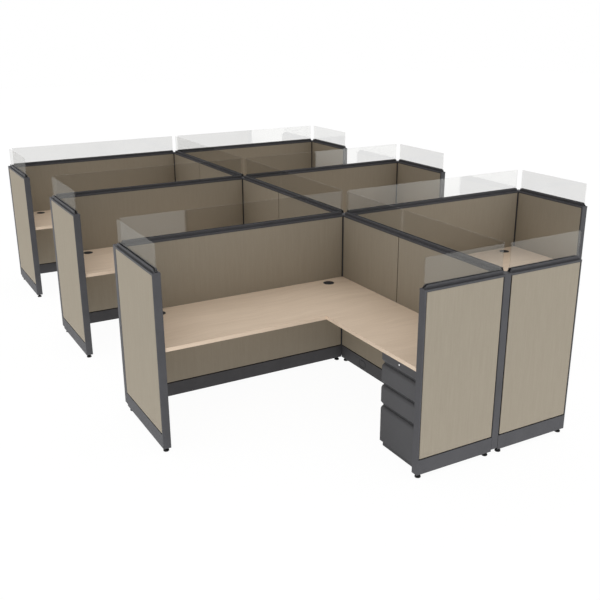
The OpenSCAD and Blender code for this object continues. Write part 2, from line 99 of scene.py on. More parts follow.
# %% [markdown]
# ## The plan of the pod
#
# The walls are panels between square posts. The same few sizes place everything, so they are
# written once, in metres, as the CAD model has them. A panel starts at a post or a seam, runs one
# way and ends at a post, at a seam with the next panel, or free. Two functions carry local points
# into the room: one along a panel, one inside a station, where u runs out from the spine wall and
# v runs forward from the back wall. The right column is the left one mirrored.

# %% Sizes and plan
BAY_RUN, WING_RUN, LEAD_RUN, END_RUN = 1.832, 0.760, 1.060, 0.615
PANEL_T, TILE_T = 0.056, 0.009
HALF, CORE = PANEL_T / 2, PANEL_T / 2 - TILE_T
ROW_DEPTH = PANEL_T + WING_RUN + LEAD_RUN
COLUMN_X = PANEL_T + BAY_RUN
FLOOR_GAP, BASE_TOP, TILE_LOW, TILE_HIGH = 0.029, 0.135, 0.143, 1.252
NECK_LOW, LIP_LOW, CAP_HIGH, GLASS_HIGH = 1.266, 1.281, 1.292, 1.458
CHANNEL_FLOOR, POST_LOW = 1.268, 0.043
ROWS = {1: "front", 2: "middle", 3: "rear"}
SIDES = {-1: "left", 1: "right"}
STATIONS = [(row, side) for row in ROWS for side in SIDES]
# What stands at a panel's end
POST, SEAM, FREE = 0, 1, 2
# Directions of panels that run away from the spine on each side, and forwards, in degrees
OUTWARDS, FORWARDS = {-1: 180, 1: 0}, -90
# The two faces of a panel
FACES = (1, -1)
Panel = namedtuple("Panel", "x y direction run start end")


def row_y(row):
    """Y of a row's back wall. Row 0 is the head of the pod, and the pod's middle is at zero."""
    return (row - len(ROWS) / 2) * ROW_DEPTH


BACKS = [Panel(s * HALF, row_y(r), OUTWARDS[s], BAY_RUN, POST, POST) for r, s in STATIONS]
WINGS = [Panel(s * COLUMN_X, row_y(r) - HALF, FORWARDS, WING_RUN, POST, FREE) for r, s in STATIONS]
REAR_SPINES = [Panel(0, row_y(r) - HALF, FORWARDS, WING_RUN, POST, SEAM) for r in ROWS]
LEAD_SPINES = [Panel(0, row_y(r) - HALF - WING_RUN, FORWARDS, LEAD_RUN, SEAM, POST) for r in ROWS]
ENDS = [Panel(s * HALF, row_y(0), OUTWARDS[s], END_RUN, POST, FREE) for s in SIDES]
WALLS = {"back_wall": BACKS, "wing": WINGS, "spine": REAR_SPINES + LEAD_SPINES, "end_panel": ENDS}
PANELS = [panel for panels in WALLS.values() for panel in panels]


def span(panel, stops):
    """Where a piece starts and stops along a panel. It stays clear of each end by the stop that
    goes with a post, a seam or a free end."""
    return stops[panel.start], panel.run - stops[panel.end]


def on_panel(panel, points, face=1):
    """Local points of a panel, x along it, y across and z up, turned and moved into the room. The
    face -1 mirrors them to the panel's other face."""
    c, s = math.cos(math.radians(panel.direction)), math.sin(math.radians(panel.direction))
    x, y, z = points[..., 0], face * points[..., 1], points[..., 2]
    return np.stack([panel.x + c * x - s * y, panel.y + s * x + c * y, z], -1)


def in_station(row, side, points):
    """Local points of a station, u out from the spine, v forward and z up, put into the room."""
    u, v, z = points[..., 0], points[..., 1], points[..., 2]
    return np.stack([side * u, row_y(row) - v, z], -1)


print(len(PANELS), "panels,", len(STATIONS), "stations")

# %% [markdown]
# ## Surfaces from outlines
#
# Nearly every piece here is an extruded, folded or turned part, so one idea makes them all: a
# closed outline is carried along an axis as a stack of rings. Where a rim is rounded, the rings
# close in on a quarter circle. A Bevel modifier could round the rims as well, but worked-out
# rings keep each radius exact and spend points only on round stretches. Whole arrays are worked
# out at once: ring k, point i.

# %% Outline helpers


def unit(vectors):
    """Each vector over its own length."""
    return vectors / np.linalg.norm(vectors, axis=-1, keepdims=True)


def filleted(corners, radii, steps=3):
    """A closed outline with round corners, running anticlockwise. Each corner is cut back along
    both sides by radius over the tangent of its half angle. An arc joins the cuts: its points are
    the two spokes, weighted by the sines of what is left and what is done of the turn."""
    corners = np.asarray(corners, float)
    x, y = corners.T
    if (x * np.roll(y, -1) - y * np.roll(x, -1)).sum() < 0:
        corners = corners[::-1]
        radii = radii if np.isscalar(radii) else radii[::-1]
    radii = np.broadcast_to(radii, len(corners))[:, None]
    before = unit(np.roll(corners, 1, 0) - corners)
    after = unit(np.roll(corners, -1, 0) - corners)
    half_angle = np.arccos(np.clip((before * after).sum(1), -1, 1))[:, None] / 2
    cut = radii / np.tan(half_angle)
    centre = corners + unit(before + after) * radii / np.sin(half_angle)
    share = np.linspace(0, 1, steps + 1)[None, :, None]
    sweep = (math.pi - 2 * half_angle)[:, None]
    start = (corners + before * cut - centre)[:, None]
    end = (corners + after * cut - centre)[:, None]
    arc = (np.sin((1 - share) * sweep) * start + np.sin(share * sweep) * end) / np.sin(sweep)
    return (centre[:, None] + arc).reshape(-1, 2)


def box_outline(low, high, radius, steps=3):
    """A rectangle between two corners, with round corners."""
    return filleted([low, (high[0], low[1]), high, (low[0], high[1])], radius, steps)


def circle(radius, count):
    """Points round a circle, anticlockwise."""
    angle = np.arange(count) * 2 * math.pi / count
    return radius * np.stack([np.cos(angle), np.sin(angle)], -1)


def inset(outline, distance):
    """The outline moved inwards. Each point goes against the sum of its two sides' normals over
    one plus their dot product, so that every side stays parallel to itself."""
    ahead = unit(np.roll(outline, -1, 0) - outline)
    normal = np.stack([ahead[:, 1], -ahead[:, 0]], -1)
    last = np.roll(normal, 1, 0)
    return outline - distance * (normal + last) / (1 + (normal * last).sum(1))[:, None]


def rim(high, radius, steps=3):
    """Heights and insets of a rounded upper rim: a quarter circle gives its height by one minus
    the sine and its inset by one minus the cosine."""
    t = np.linspace(0, math.pi / 2, steps + 1)
    return np.stack([high - radius * (1 - np.sin(t)), radius * (1 - np.cos(t))], -1)


def rims(low, high, radius, steps=3):
    """Heights and insets of a slab with two round rims. The lower is the upper one upside down."""
    return np.concatenate([rim(-low, radius, steps)[::-1] * (-1, 1), rim(high, radius, steps)])


def stacked(outline, stations, axis=2):
    """Rings of an outline at each station's height and inset, with the height put on an axis."""
    flat = np.stack([inset(outline, d) for _, d in stations])
    height = np.broadcast_to(np.asarray(stations)[:, 0][:, None, None], flat.shape[:2] + (1,))
    return np.insert(flat, axis, height[..., 0], axis=-1)


def carried(profile, ends, axis):
    """Rings of a profile at the two ends of a straight run along an axis."""
    return stacked(profile, [(end, 0) for end in ends], axis)


print("outline helpers ready")

# %% [markdown]
# A stack of rings becomes a closed skin. The sign of its volume shows whether the faces look
# outwards, so mirrored pieces turn themselves the right way round. Recalculate Outside in Edit
# Mode would do that too, but it would have to run on each piece.

# %% From rings to pieces
SHARP = math.radians(38)


def shell(rings, loop=False):
    """A closed skin over rings. Four-sided faces join neighbouring rings. One face closes each
    end, or the last ring joins the first. The volume is a sixth of the sum of triple products."""
    count, around = rings.shape[:2]
    index = np.arange(count * around).reshape(count, around)
    lower, upper = (index, np.roll(index, -1, 0)) if loop else (index[:-1], index[1:])
    corners = [lower, np.roll(lower, -1, 1), np.roll(upper, -1, 1), upper]
    quads = np.stack(corners, -1).reshape(-1, 4)
    caps = [] if loop else [index[0][::-1], index[-1]]
    points = rings.reshape(-1, 3)
    near = points - points.mean(0)
    fans = [quads[:, [0, 1, 2]], quads[:, [0, 2, 3]]]
    fans += [np.stack([np.full(around - 2, c[0]), c[1:-1], c[2:]], -1) for c in caps]
    a, b, c = near[np.concatenate(fans)].transpose(1, 0, 2)
    if (a * np.cross(b, c)).sum() < 0:
        quads, caps = quads[:, ::-1], [cap[::-1] for cap in caps]
    return points, quads, caps


def make_piece(name, shells, material, body="pod", nodes=()):
    """One object from several skins, riding on a body and standing for CAD nodes."""
    points, faces, count = [], [], 0
    for corner, quads, caps in shells:
        points.append(corner)
        faces += (quads + count).tolist() + [(cap + count).tolist() for cap in caps]
        count += len(corner)
    mesh = bpy.data.meshes.new(name)
    mesh.from_pydata(np.concatenate(points).tolist(), [], faces)
    mesh.shade_smooth()
    mesh.set_sharp_from_angle(angle=SHARP)
    mesh.materials.append(material)
    piece = bpy.data.objects.new(name, mesh)
    bpy.context.collection.objects.link(piece)
    even = piece.modifiers.new("even shading", "WEIGHTED_NORMAL")
    even.keep_sharp = True
    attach(piece, body)
    if nodes:
        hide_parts(*nodes)
    return piece


print("edges sharper than", round(math.degrees(SHARP)), "degrees stay crisp")

# %% [markdown]
# ## Finishes
#
# Every finish is a small tree of nodes that reads Object coordinates. The pieces stand at the
# origin with their place in their mesh, so Object coordinates are metres in the room, and a
# pattern keeps its real size on every piece. An image could carry such patterns too, but it would
# need unwrapping and would blur close up. Several layers of noise, each with its scale and its
# weight, make the slight unevenness of real surfaces.

# %% Node helpers
# Noise mostly stays between these two values
NOISE_LOW, NOISE_HIGH = 0.3, 0.7
# Noise of a scale per metre, its weight in a sum, its detail and roughness, and its stretch
Layer = namedtuple("Layer", "scale weight detail roughness stretch", defaults=(1, 2.0, 0.6, (1, 1, 1)))


def srgb(r, g, b):
    """A screen colour, 0 to 255, as linear light: each channel over 255, to the power 2.4 above
    the toe."""
    c = np.array([r, g, b]) / 255
    return (*np.where(c <= 0.04045, c / 12.92, ((c + 0.055) / 1.055) ** 2.4), 1.0)


def finish(name, roughness, specular):
    """A new material, with its tree and its principled shader."""
    material = bpy.data.materials.new(name)
    material.use_nodes = True
    shader = material.node_tree.nodes["Principled BSDF"]
    shader.inputs["Roughness"].default_value = roughness
    shader.inputs["Specular IOR Level"].default_value = specular
    return material, material.node_tree, shader


def put(tree, kind, *values, **settings):
    """A node of a kind. Values fill its inputs in order: a socket is linked, None is skipped."""
    node = tree.nodes.new("ShaderNode" + kind)
    for key, value in settings.items():
        setattr(node, key, value)
    for socket, value in zip(node.inputs, values):
        if isinstance(value, bpy.types.NodeSocket):
            tree.links.new(value, socket)
        elif value is not None:
            socket.default_value = value
    return node


def maths(tree, operation, *values):
    """One step of arithmetic on one, two or three values."""
    return put(tree, "Math", *values, operation=operation).outputs[0]


def room(tree):
    """Object coordinates, and their X, Y and Z."""
    coords = put(tree, "TexCoord").outputs["Object"]
    return coords, put(tree, "SeparateXYZ", coords).outputs


def noise(tree, coords, layer):
    """Cloudy noise, drawn out along the axes where the layer's stretch is small."""
    placed = put(tree, "Mapping", coords, None, None, layer.stretch).outputs[0]
    return put(tree, "TexNoise", placed, None, layer.scale, layer.detail, layer.roughness).outputs[0]


def layered(tree, coords, layers, tone=0.0):
    """The noise of each layer, and the sum of a tone and all of them by weight."""
    parts = [noise(tree, coords, layer) for layer in layers]
    for part, layer in zip(parts, layers):
        tone = maths(tree, "MULTIPLY_ADD", part, layer.weight, tone)
    return parts, tone


def between(tree, value, low, high, new_low, new_high):
    """A value's range carried over to a new range."""
    return put(tree, "MapRange", value, low, high, new_low, new_high).outputs[0]


def spread(tree, value, low=0, high=1):
    """Noise spread over a range."""
    return between(tree, value, NOISE_LOW, NOISE_HIGH, low, high)


def blend(tree, share, dark, light):
    """A colour between two, by a share from 0 to 1."""
    node = put(tree, "Mix", data_type="RGBA")
    for socket, value in (("Factor_Float", share), ("A_Color", dark), ("B_Color", light)):
        target = next(i for i in node.inputs if i.identifier == socket)
        if isinstance(value, bpy.types.NodeSocket):
            tree.links.new(value, target)
        else:
            target.default_value = value
    return next(o for o in node.outputs if o.identifier == "Result_Color")


def set_looks(tree, shader, colour, roughness, height, bump):
    """Links a colour and a roughness to the shader, and turns a height between 0 and 1 into bumps
    of a depth in metres and a strength."""
    depth, strength = bump
    node = put(tree, "Bump", strength, depth)
    tree.links.new(height, node.inputs["Height"])
    tree.links.new(colour, shader.inputs["Base Color"])
    tree.links.new(roughness, shader.inputs["Roughness"])
    tree.links.new(node.outputs[0], shader.inputs["Normal"])


print("noise is read from", NOISE_LOW, "to", NOISE_HIGH)

# %% [markdown]
# The tiles are covered in a plain woven panel fabric: warm grey, two yarns of slightly different
# tone. Its upright yarns are uneven, so from a few steps away it looks finely streaked from top
# to bottom. Walls run along X or along Y, and on each of them either Y or X stays the same, so X
# plus Y runs along every wall. Two waves along the run and along Z make the yarns, and their
# product tells which yarn lies on top at each crossing. Noise that is drawn out along Z gives the
# streaks, at three widths. A picture of cloth would show its repeat on walls as long as these.

# %% Woven fabric
YARN = 0.0024
FABRIC_DARK, FABRIC_LIGHT = srgb(159, 150, 135), srgb(170, 161, 145)
# The yarns waver, by up to this turn in radians
WAVER, WAVER_TURN = Layer(55, detail=1.0, roughness=0.5), 0.9
SLUBS = Layer(420, 0.26, stretch=(1, 1, 0.05))
FILLING_SLUBS = Layer(420, 0.14, stretch=(0.06, 1, 1))
STREAKS = Layer(110, 0.30, stretch=(1, 1, 0.045))
BROAD_STREAKS = Layer(38, 0.22, roughness=0.5, stretch=(1, 1, 0.07))
CROSSING_WEIGHT, CLOTH_TONES = 0.08, (0.32, 0.68)
CLOTH_ROUGHNESS, CLOTH_SHEEN = (0.9, 1.0), 0.1
SLUB_RELIEF, CROSSING_RELIEF, CLOTH_BUMP = 0.4, 0.6, (0.0005, 0.8)


def woven_fabric():
    """Sine waves along the run and up the wall, shifted a little by noise, under four layers of
    noise. The waves multiplied give the crossings."""
    material, tree, shader = finish("panel_fabric", CLOTH_ROUGHNESS[1], CLOTH_SHEEN)
    axes = room(tree)[1]
    run = maths(tree, "ADD", axes[0], axes[1])
    flat = put(tree, "CombineXYZ", run, 0.0, axes[2]).outputs[0]
    shift = between(tree, noise(tree, flat, WAVER), 0, 1, -WAVER_TURN, WAVER_TURN)
    turns = 2 * math.pi / YARN
    warp = maths(tree, "SINE", maths(tree, "MULTIPLY_ADD", run, turns, shift))
    weft = maths(tree, "SINE", maths(tree, "MULTIPLY_ADD", axes[2], turns, shift))
    crossing = between(tree, maths(tree, "MULTIPLY", warp, weft), -1, 1, 0, 1)
    layers = (SLUBS, FILLING_SLUBS, STREAKS, BROAD_STREAKS)
    parts, tone = layered(tree, flat, layers, maths(tree, "MULTIPLY", crossing, CROSSING_WEIGHT))
    share = between(tree, tone, *CLOTH_TONES, 0, 1)
    relief = maths(tree, "MULTIPLY_ADD", parts[0], SLUB_RELIEF,
        maths(tree, "MULTIPLY", crossing, CROSSING_RELIEF))
    set_looks(tree, shader, blend(tree, share, FABRIC_DARK, FABRIC_LIGHT),
        spread(tree, parts[0], *CLOTH_ROUGHNESS), relief, CLOTH_BUMP)
    return material


fabric = woven_fabric()
print("fabric yarns are", YARN * 1000, "mm apart")

# %% [markdown]
# The caps, posts, trims and covers wear a satin powder coat, and the pedestals the same with a
# finer, slightly rougher skin. A plain grey would do from afar, but powder coat is never quite
# even: its skin has a fine orange peel, and its gloss drifts a little over a hand's width. Wear
# shows as paler, duller patches, so one slow noise sets both tone and gloss.

# %% Charcoal powder coat
CLOUD, PEEL_WEIGHT = Layer(9, 0.6, detail=4.0), 0.4
PAINT_SHEEN, PAINT_DRIFT, PAINT_BUMP = 0.1, 0.06, (0.0001, 0.5)


def powder_coat(name, dark, light, roughness, peel):
    """Paint between two tones, with a fine peel of a given scale per metre."""
    material, tree, shader = finish(name, roughness, PAINT_SHEEN)
    (cloud, grain), tone = layered(tree, room(tree)[0], (CLOUD, Layer(peel, PEEL_WEIGHT)))
    set_looks(tree, shader, blend(tree, spread(tree, tone), dark, light),
        spread(tree, cloud, roughness - PAINT_DRIFT, roughness + PAINT_DRIFT), grain, PAINT_BUMP)
    return material


trim = powder_coat("trim_paint", srgb(81, 81, 84), srgb(91, 91, 94), roughness=0.55, peel=900)
pedestal_paint = powder_coat("pedestal_paint", srgb(87, 87, 89), srgb(96, 96, 98),
    roughness=0.6, peel=1300)
# The frame steel is near-black, darker than its paint alone, so the grooves where the frames show read
# as dark lines. This is painted shade over the steel's own dark tone.
groove_shade_steel = powder_coat("frame_steel", srgb(12, 12, 13), srgb(18, 18, 19), roughness=0.7, peel=500)
print("powder coats:", trim.name, pedestal_paint.name, groove_shade_steel.name)

# %% [markdown]
# The tops are a matt pale maple laminate: broad, faint figure drawn out along the length, with
# fine pores along it. The edge band is a moulded strip in the same tone, a little paler. The
# figure could be a Wave texture, but noise that is drawn out and bent is less regular, as wood is.

# %% Maple laminate
BEND, BEND_REACH = Layer(1.6, roughness=0.5), 0.12
FIGURE = Layer(16, 0.5, detail=3.0, roughness=0.55, stretch=(0.07, 1, 1))
GRAIN = Layer(120, 0.32, stretch=(0.04, 1, 1))
PORES = Layer(700, 0.18, detail=1.0, roughness=0.5, stretch=(0.06, 1, 1))
WOOD_TONES, WOOD_SHEEN, WOOD_DRIFT, PORE_BUMP = (0.34, 0.66), 0.2, 0.05, (0.00008, 0.4)


def maple(name, dark, light, roughness):
    """Wood figure along X: wide soft bands, bent by slow noise, and short fine pores."""
    material, tree, shader = finish(name, roughness, WOOD_SHEEN)
    coords, axes = room(tree)
    bend = between(tree, noise(tree, coords, BEND), 0, 1, -BEND_REACH, BEND_REACH)
    plank = put(tree, "CombineXYZ", axes[0], maths(tree, "ADD", axes[1], bend), axes[2]).outputs[0]
    (_, grain, pores), tone = layered(tree, plank, (FIGURE, GRAIN, PORES))
    share = between(tree, tone, *WOOD_TONES, 0, 1)
    set_looks(tree, shader, blend(tree, share, dark, light),
        spread(tree, grain, roughness - WOOD_DRIFT, roughness + WOOD_DRIFT), pores, PORE_BUMP)
    return material


laminate = maple("maple_laminate", srgb(224, 202, 178), srgb(239, 218, 195), roughness=0.5)
edge_band = maple("edge_band", srgb(231, 208, 184), srgb(243, 222, 199), roughness=0.45)
print("wood finishes:", laminate.name, edge_band.name)

# %% [markdown]
# The small moulded pieces are black plastic with a spark-eroded grain, and the grommets the same
# in a very dark grey. The gaskets are rubber: duller, with a soft bloom. The three differ only in
# tone, gloss and scale, so one function makes them all.

# %% Black plastic and rubber
BLOOM = Layer(25, roughness=0.5)
MOULD_SHEEN, MOULD_DRIFT, MOULD_BUMP = 0.3, 0.08, (0.00012, 0.6)


def moulded(name, dark, light, roughness, grain_scale):
    """Moulded plastic or rubber between two tones, with an even grain."""
    material, tree, shader = finish(name, roughness, MOULD_SHEEN)
    grain, bloom = (noise(tree, room(tree)[0], layer) for layer in (Layer(grain_scale), BLOOM))
    set_looks(tree, shader, blend(tree, spread(tree, bloom), dark, light),
        spread(tree, grain, roughness - MOULD_DRIFT, roughness + MOULD_DRIFT), grain, MOULD_BUMP)
    return material


black = moulded("black_plastic", srgb(22, 23, 24), srgb(31, 32, 34),
    roughness=0.5, grain_scale=1100)
dark_grey = moulded("grommet_plastic", srgb(43, 46, 50), srgb(52, 55, 60),
    roughness=0.5, grain_scale=1100)
rubber = moulded("black_rubber", srgb(16, 16, 16), srgb(26, 26, 25),
    roughness=0.75, grain_scale=700)
print("moulded finishes:", black.name, dark_grey.name, rubber.name)

# %% [markdown]
# The slides are zinc-plated steel, brushed along their length, and the lock plugs are polished
# and chromed. Metal has its colour in its mirror, so both are fully metallic, and the brushing is
# noise that is drawn out along the slides.

# %% Bright metals
METAL_SHEEN, METAL_BUMP = 0.5, (0.00004, 0.4)
# How far the gloss drifts to the bright and to the dull side
BRIGHTER, DULLER = 0.04, 0.06


def bright_metal(name, dark, light, roughness, marks):
    """Metal between two tones, with a layer of fine marks."""
    material, tree, shader = finish(name, roughness, METAL_SHEEN)
    shader.inputs["Metallic"].default_value = 1
    height = noise(tree, room(tree)[0], marks)
    set_looks(tree, shader, blend(tree, spread(tree, height), dark, light),
        spread(tree, height, roughness - BRIGHTER, roughness + DULLER), height, METAL_BUMP)
    return material


zinc = bright_metal("slide_steel", srgb(176, 178, 180), srgb(206, 207, 208),
    roughness=0.34, marks=Layer(900, stretch=(0.05, 1, 1)))
chrome = bright_metal("lock_steel", srgb(214, 214, 216), srgb(232, 232, 234),
    roughness=0.16, marks=Layer(500))
print("metals:", zinc.name, chrome.name)

# %% [markdown]
# The sheets over the walls are thin grey glass. What is behind shows through unbent and a little
# darker. A Glass shader would bend it and need many more light paths, so the body of the finish
# is a tinted Transparent shader, once for each face that the view crosses. Over it lies a clear
# reflection. Its share is a few hundredths straight on and rises with the fourth power towards a
# grazing view, more gently than on bare glass, as on sheets with a hard matt-grey coat. Layer
# Weight's Facing gives one minus the cosine of that angle, the same on both faces of a sheet,
# when its blend is a half.

# %% Clear sheets
GLASS_DARK, GLASS_LIGHT = (0.908, 0.908, 0.906, 1), (0.920, 0.920, 0.918, 1)
STRAIGHT_ON, GRAZING, GRAZING_POWER = 0.05, 0.03, 4.0
MIRROR_BLUR, MIRROR_TINT = 0.015, (1, 1, 0.96, 1)
SMEAR = Layer(3, detail=3.0)
EVEN_BLEND = 0.5


def clear_sheet():
    """A tinted see-through shader mixed with a mirror. The mirror's share is the straight-on share
    plus the grazing share times a power of Facing."""
    material = bpy.data.materials.new("clear_glass")
    material.use_nodes = True
    tree = material.node_tree
    tree.nodes.remove(tree.nodes["Principled BSDF"])
    smear = spread(tree, noise(tree, room(tree)[0], SMEAR))
    tinted = put(tree, "BsdfTransparent", blend(tree, smear, GLASS_DARK, GLASS_LIGHT)).outputs[0]
    mirror = put(tree, "BsdfGlossy", MIRROR_TINT)
    blur = between(tree, smear, 0, 1, MIRROR_BLUR, 2 * MIRROR_BLUR)
    tree.links.new(blur, mirror.inputs["Roughness"])
    facing = put(tree, "LayerWeight", EVEN_BLEND).outputs["Facing"]
    rise = maths(tree, "POWER", facing, GRAZING_POWER)
    share = maths(tree, "MULTIPLY_ADD", rise, GRAZING, STRAIGHT_ON)
    mix = put(tree, "MixShader", share, tinted, mirror.outputs[0])
    tree.links.new(mix.outputs[0], tree.nodes["Material Output"].inputs["Surface"])
    return material


glass = clear_sheet()
print("a sheet mirrors", STRAIGHT_ON, "straight on")

# %% [markdown]
# ## The walls
#
# Fabric tiles clip onto both faces of each frame. A tile is a stiff board with the cloth pulled
# round its edge, so its rim is softly rounded. Behind the board it stands on a slightly smaller
# tray, which leaves a dark line round it. How far a tile stops short of a panel's end depends on
# what is there: a post, a seam or an end trim. Cloth that is pulled tight lies flat, so it needs
# no cloth simulation.

# %% Fabric tiles
# How far the tiles stop short of a post, a seam and a free end; later stops go the same way
TILE_STOPS = (0.0085, 0.0042, 0.0155)
TILE_RIM, TILE_CORNER = 0.0018, 0.004
BOARD_T, TRAY_INSET = 0.0035, 0.0035


def tile(panel, face):
    """A tray and a rounded board, upright on one face of a panel."""
    start, stop = span(panel, TILE_STOPS)
    outline = box_outline((start, TILE_LOW), (stop, TILE_HIGH), TILE_CORNER)
    stand = [(CORE, TRAY_INSET), (HALF - BOARD_T, TRAY_INSET), (HALF - BOARD_T, 0)]
    rings = stacked(outline, [*stand, *rim(HALF, TILE_RIM, steps=4)], axis=1)
    return shell(on_panel(panel, rings, face))


for wall, panels in WALLS.items():
    node = wall + "_tiles"
    piece = make_piece("dressed_" + node, [tile(p, face) for p in panels for face in FACES], fabric,
        nodes=[node])
    print(piece.name, len(piece.data.polygons), "faces")

# %% [markdown]
# The cap of a wall is one profile: a ledge flush with the tiles, a neck that rises from it, and
# two lips on the neck that hold the glass. At a post the lips stop a little short of it, which
# leaves a notch open between the walls' lips. At a free end the cap slopes down, so the place of
# each point of the profile's last ring depends on its height. A Boolean could cut the slope, but
# moving the ring's points keeps the mesh clean.

# %% Top caps
LIP_STOP, CAP_SLOPE, HAIRLINE = 0.008, 0.028, 0.0005
NECK_HALF, SLOT_HALF = 0.0115, 0.009
LIP_IN, LIP_OUT = 0.0065, 0.0145
EASE = 0.0002
FOOT_R, LEDGE_R, COVE_R, FINE_R = 0.0004, 0.002, 0.001, 0.0003
# Fillets of the lip, from its inner foot round to its inner top
LIP_RADII = (0.0005, 0.001, 0.003, 0.0015)


def cap_end(kind, y, z, is_lip):
    """How far a point of the profile reaches past a panel's end. At a post a lip stops short. At a
    free end the slope climbs evenly inwards with the height above the channel's floor."""
    if kind == FREE:
        return -CAP_SLOPE * np.clip((z - CHANNEL_FLOOR) / (CAP_HIGH - CHANNEL_FLOOR), 0, 1)
    return np.full_like(y, -LIP_STOP if kind == POST and is_lip else -HAIRLINE)


def cap_part(panel, profile, is_lip):
    """A profile in y and z, carried from one end of a panel to the other, each end being eased
    by a last small ring."""
    eased = inset(profile, EASE)
    rings = []
    for outline, ease in ((eased, 0), (profile, EASE)):
        y, z = outline.T
        rings.append(np.stack([ease - cap_end(panel.start, y, z, is_lip), y, z], -1))
    for outline, ease in ((profile, EASE), (eased, 0)):
        y, z = outline.T
        rings.append(np.stack([panel.run - ease + cap_end(panel.end, y, z, is_lip), y, z], -1))
    return shell(on_panel(panel, np.stack(rings)))


LEDGE = filleted([(-HALF, TILE_HIGH), (HALF, TILE_HIGH), (HALF, NECK_LOW), (NECK_HALF, NECK_LOW),
    (NECK_HALF, LIP_LOW), (SLOT_HALF, LIP_LOW), (SLOT_HALF, CHANNEL_FLOOR),
    (-SLOT_HALF, CHANNEL_FLOOR), (-SLOT_HALF, LIP_LOW), (-NECK_HALF, LIP_LOW),
    (-NECK_HALF, NECK_LOW), (-HALF, NECK_LOW)],
    [FOOT_R, FOOT_R, LEDGE_R, COVE_R] + 6 * [FINE_R] + [COVE_R, LEDGE_R])
LIP = filleted([(LIP_IN, LIP_LOW), (LIP_OUT, LIP_LOW), (LIP_OUT, CAP_HIGH), (LIP_IN, CAP_HIGH)],
    LIP_RADII)
OTHER_LIP = (LIP * (-1, 1))[::-1]
CAP_PARTS = ((LEDGE, False), (LIP, True), (OTHER_LIP, True))
caps = make_piece("dressed_top_caps", [cap_part(p, *part) for p in PANELS for part in CAP_PARTS],
    trim, nodes=["top_caps"])
print(caps.name, len(caps.data.polygons), "faces")

# %% [markdown]
# The sheets stand in the channel between two rubber gaskets. Their arrises are ground off. A
# plane would look alike from afar, but a real thickness gives the sheet its two faces and the
# pale line of its edge.

# %% Sheets and gaskets
SHEET_STOPS = (0.004, 0.010, 0.010)
GASKET_STOPS = (0.004, 0.010, 0.010 + CAP_SLOPE)
SHEET_T, ARRIS = 0.010, 0.001
GASKET_DROP, GASKET_R = 0.0008, 0.0006


def sheet(panel):
    """An upright slab in the middle of a panel's channel."""
    start, stop = span(panel, SHEET_STOPS)
    outline = box_outline((start, CHANNEL_FLOOR), (stop, GLASS_HIGH), 2 * ARRIS)
    rings = stacked(outline, rims(-SHEET_T / 2, SHEET_T / 2, ARRIS, steps=2), axis=1)
    return shell(on_panel(panel, rings))


def gasket(panel, face):
    """A strip beside the sheet, with a rounded upper edge."""
    profile = box_outline((SHEET_T / 2, CHANNEL_FLOOR), (LIP_IN, CAP_HIGH - GASKET_DROP), GASKET_R)
    return shell(on_panel(panel, carried(profile, span(panel, GASKET_STOPS), axis=0), face))


for wall, panels in WALLS.items():
    node = wall + "_glass"
    make_piece("dressed_" + node, [sheet(p) for p in panels], glass, nodes=[node])
gaskets = make_piece("dressed_gaskets", [gasket(p, face) for p in PANELS for face in FACES], rubber,
    nodes=["glass_gaskets"])
print(gaskets.name, len(gaskets.data.polygons), "faces")

# %% [markdown]
# Posts are square tubes with a lid, level with the channels of the caps. A tube that is open
# below is one stack of rings: up inside to the lid, back down, round the lower rim, and up
# outside. The first ring closes the lid's underside and the last one its top. A solid block would
# show as one from below.

# %% Posts
TUBE_T, POST_RIM, LID_RIM, POST_CORNER = 0.003, 0.001, 0.002, 0.004


def post(x, y):
    """A square tube, open below, around a place in the plan."""
    outline = box_outline((x - HALF, y - HALF), (x + HALF, y + HALF), POST_CORNER)
    inner = [(CHANNEL_FLOOR - TUBE_T, TUBE_T), (POST_LOW, TUBE_T)]
    outer = [(POST_LOW, POST_RIM), (POST_LOW + POST_RIM, 0)]
    return shell(stacked(outline, [*inner, *outer, *rim(CHANNEL_FLOOR, LID_RIM)]))


places = [(0, row_y(row)) for row in (0, *ROWS)] + [(s * COLUMN_X, row_y(r)) for r, s in STATIONS]
posts = make_piece("dressed_posts", [post(*place) for place in places], trim,
    nodes=["junction_posts"])
print(len(places), "posts in", posts.name)

# %% [markdown]
# End trims are folded channels that close a free wall end. In plan such a channel is one
# outline, open towards the wall, so it is carried straight up from the floor gap to the cap.

# %% End trims
TRIM_W, TRIM_T, TRIM_EASE = 0.011, 0.003, 0.0005
# Fillets of the channel in plan: at its free edges, its outer corners and its inner corners
EDGE_R, OUTER_R, INNER_R = 0.0006, 0.003, 0.0005


def end_trim(panel):
    """A channel in plan, carried up with an eased edge at its foot and top."""
    a, b, inner = panel.run - TRIM_W, panel.run, HALF - TRIM_T
    outline = filleted([(a, -HALF), (b, -HALF), (b, HALF), (a, HALF), (a, inner),
        (b - TRIM_T, inner), (b - TRIM_T, -inner), (a, -inner)],
        (EDGE_R, OUTER_R, OUTER_R, EDGE_R, EDGE_R, INNER_R, INNER_R, EDGE_R))
    return shell(on_panel(panel, stacked(outline, rims(FLOOR_GAP, TILE_HIGH, TRIM_EASE, steps=1))))


trims = make_piece("dressed_end_trims", [end_trim(p) for p in WINGS + ENDS], trim,
    nodes=["end_trims"])
print(trims.name, len(trims.data.polygons), "faces")

# %% [markdown]
# The raceway covers are folded channels that clip on along the foot of the walls. On the spine
# each first cover has a rounded opening for an outlet, which a blank fills up to a narrow groove.
# A plate with an opening is a loop of rings: the outer edge behind and in front, and the
# opening's edge in front and behind. The outer ring has as many points as the opening, dealt out
# evenly along the four sides. A Boolean would leave long thin faces round the opening.

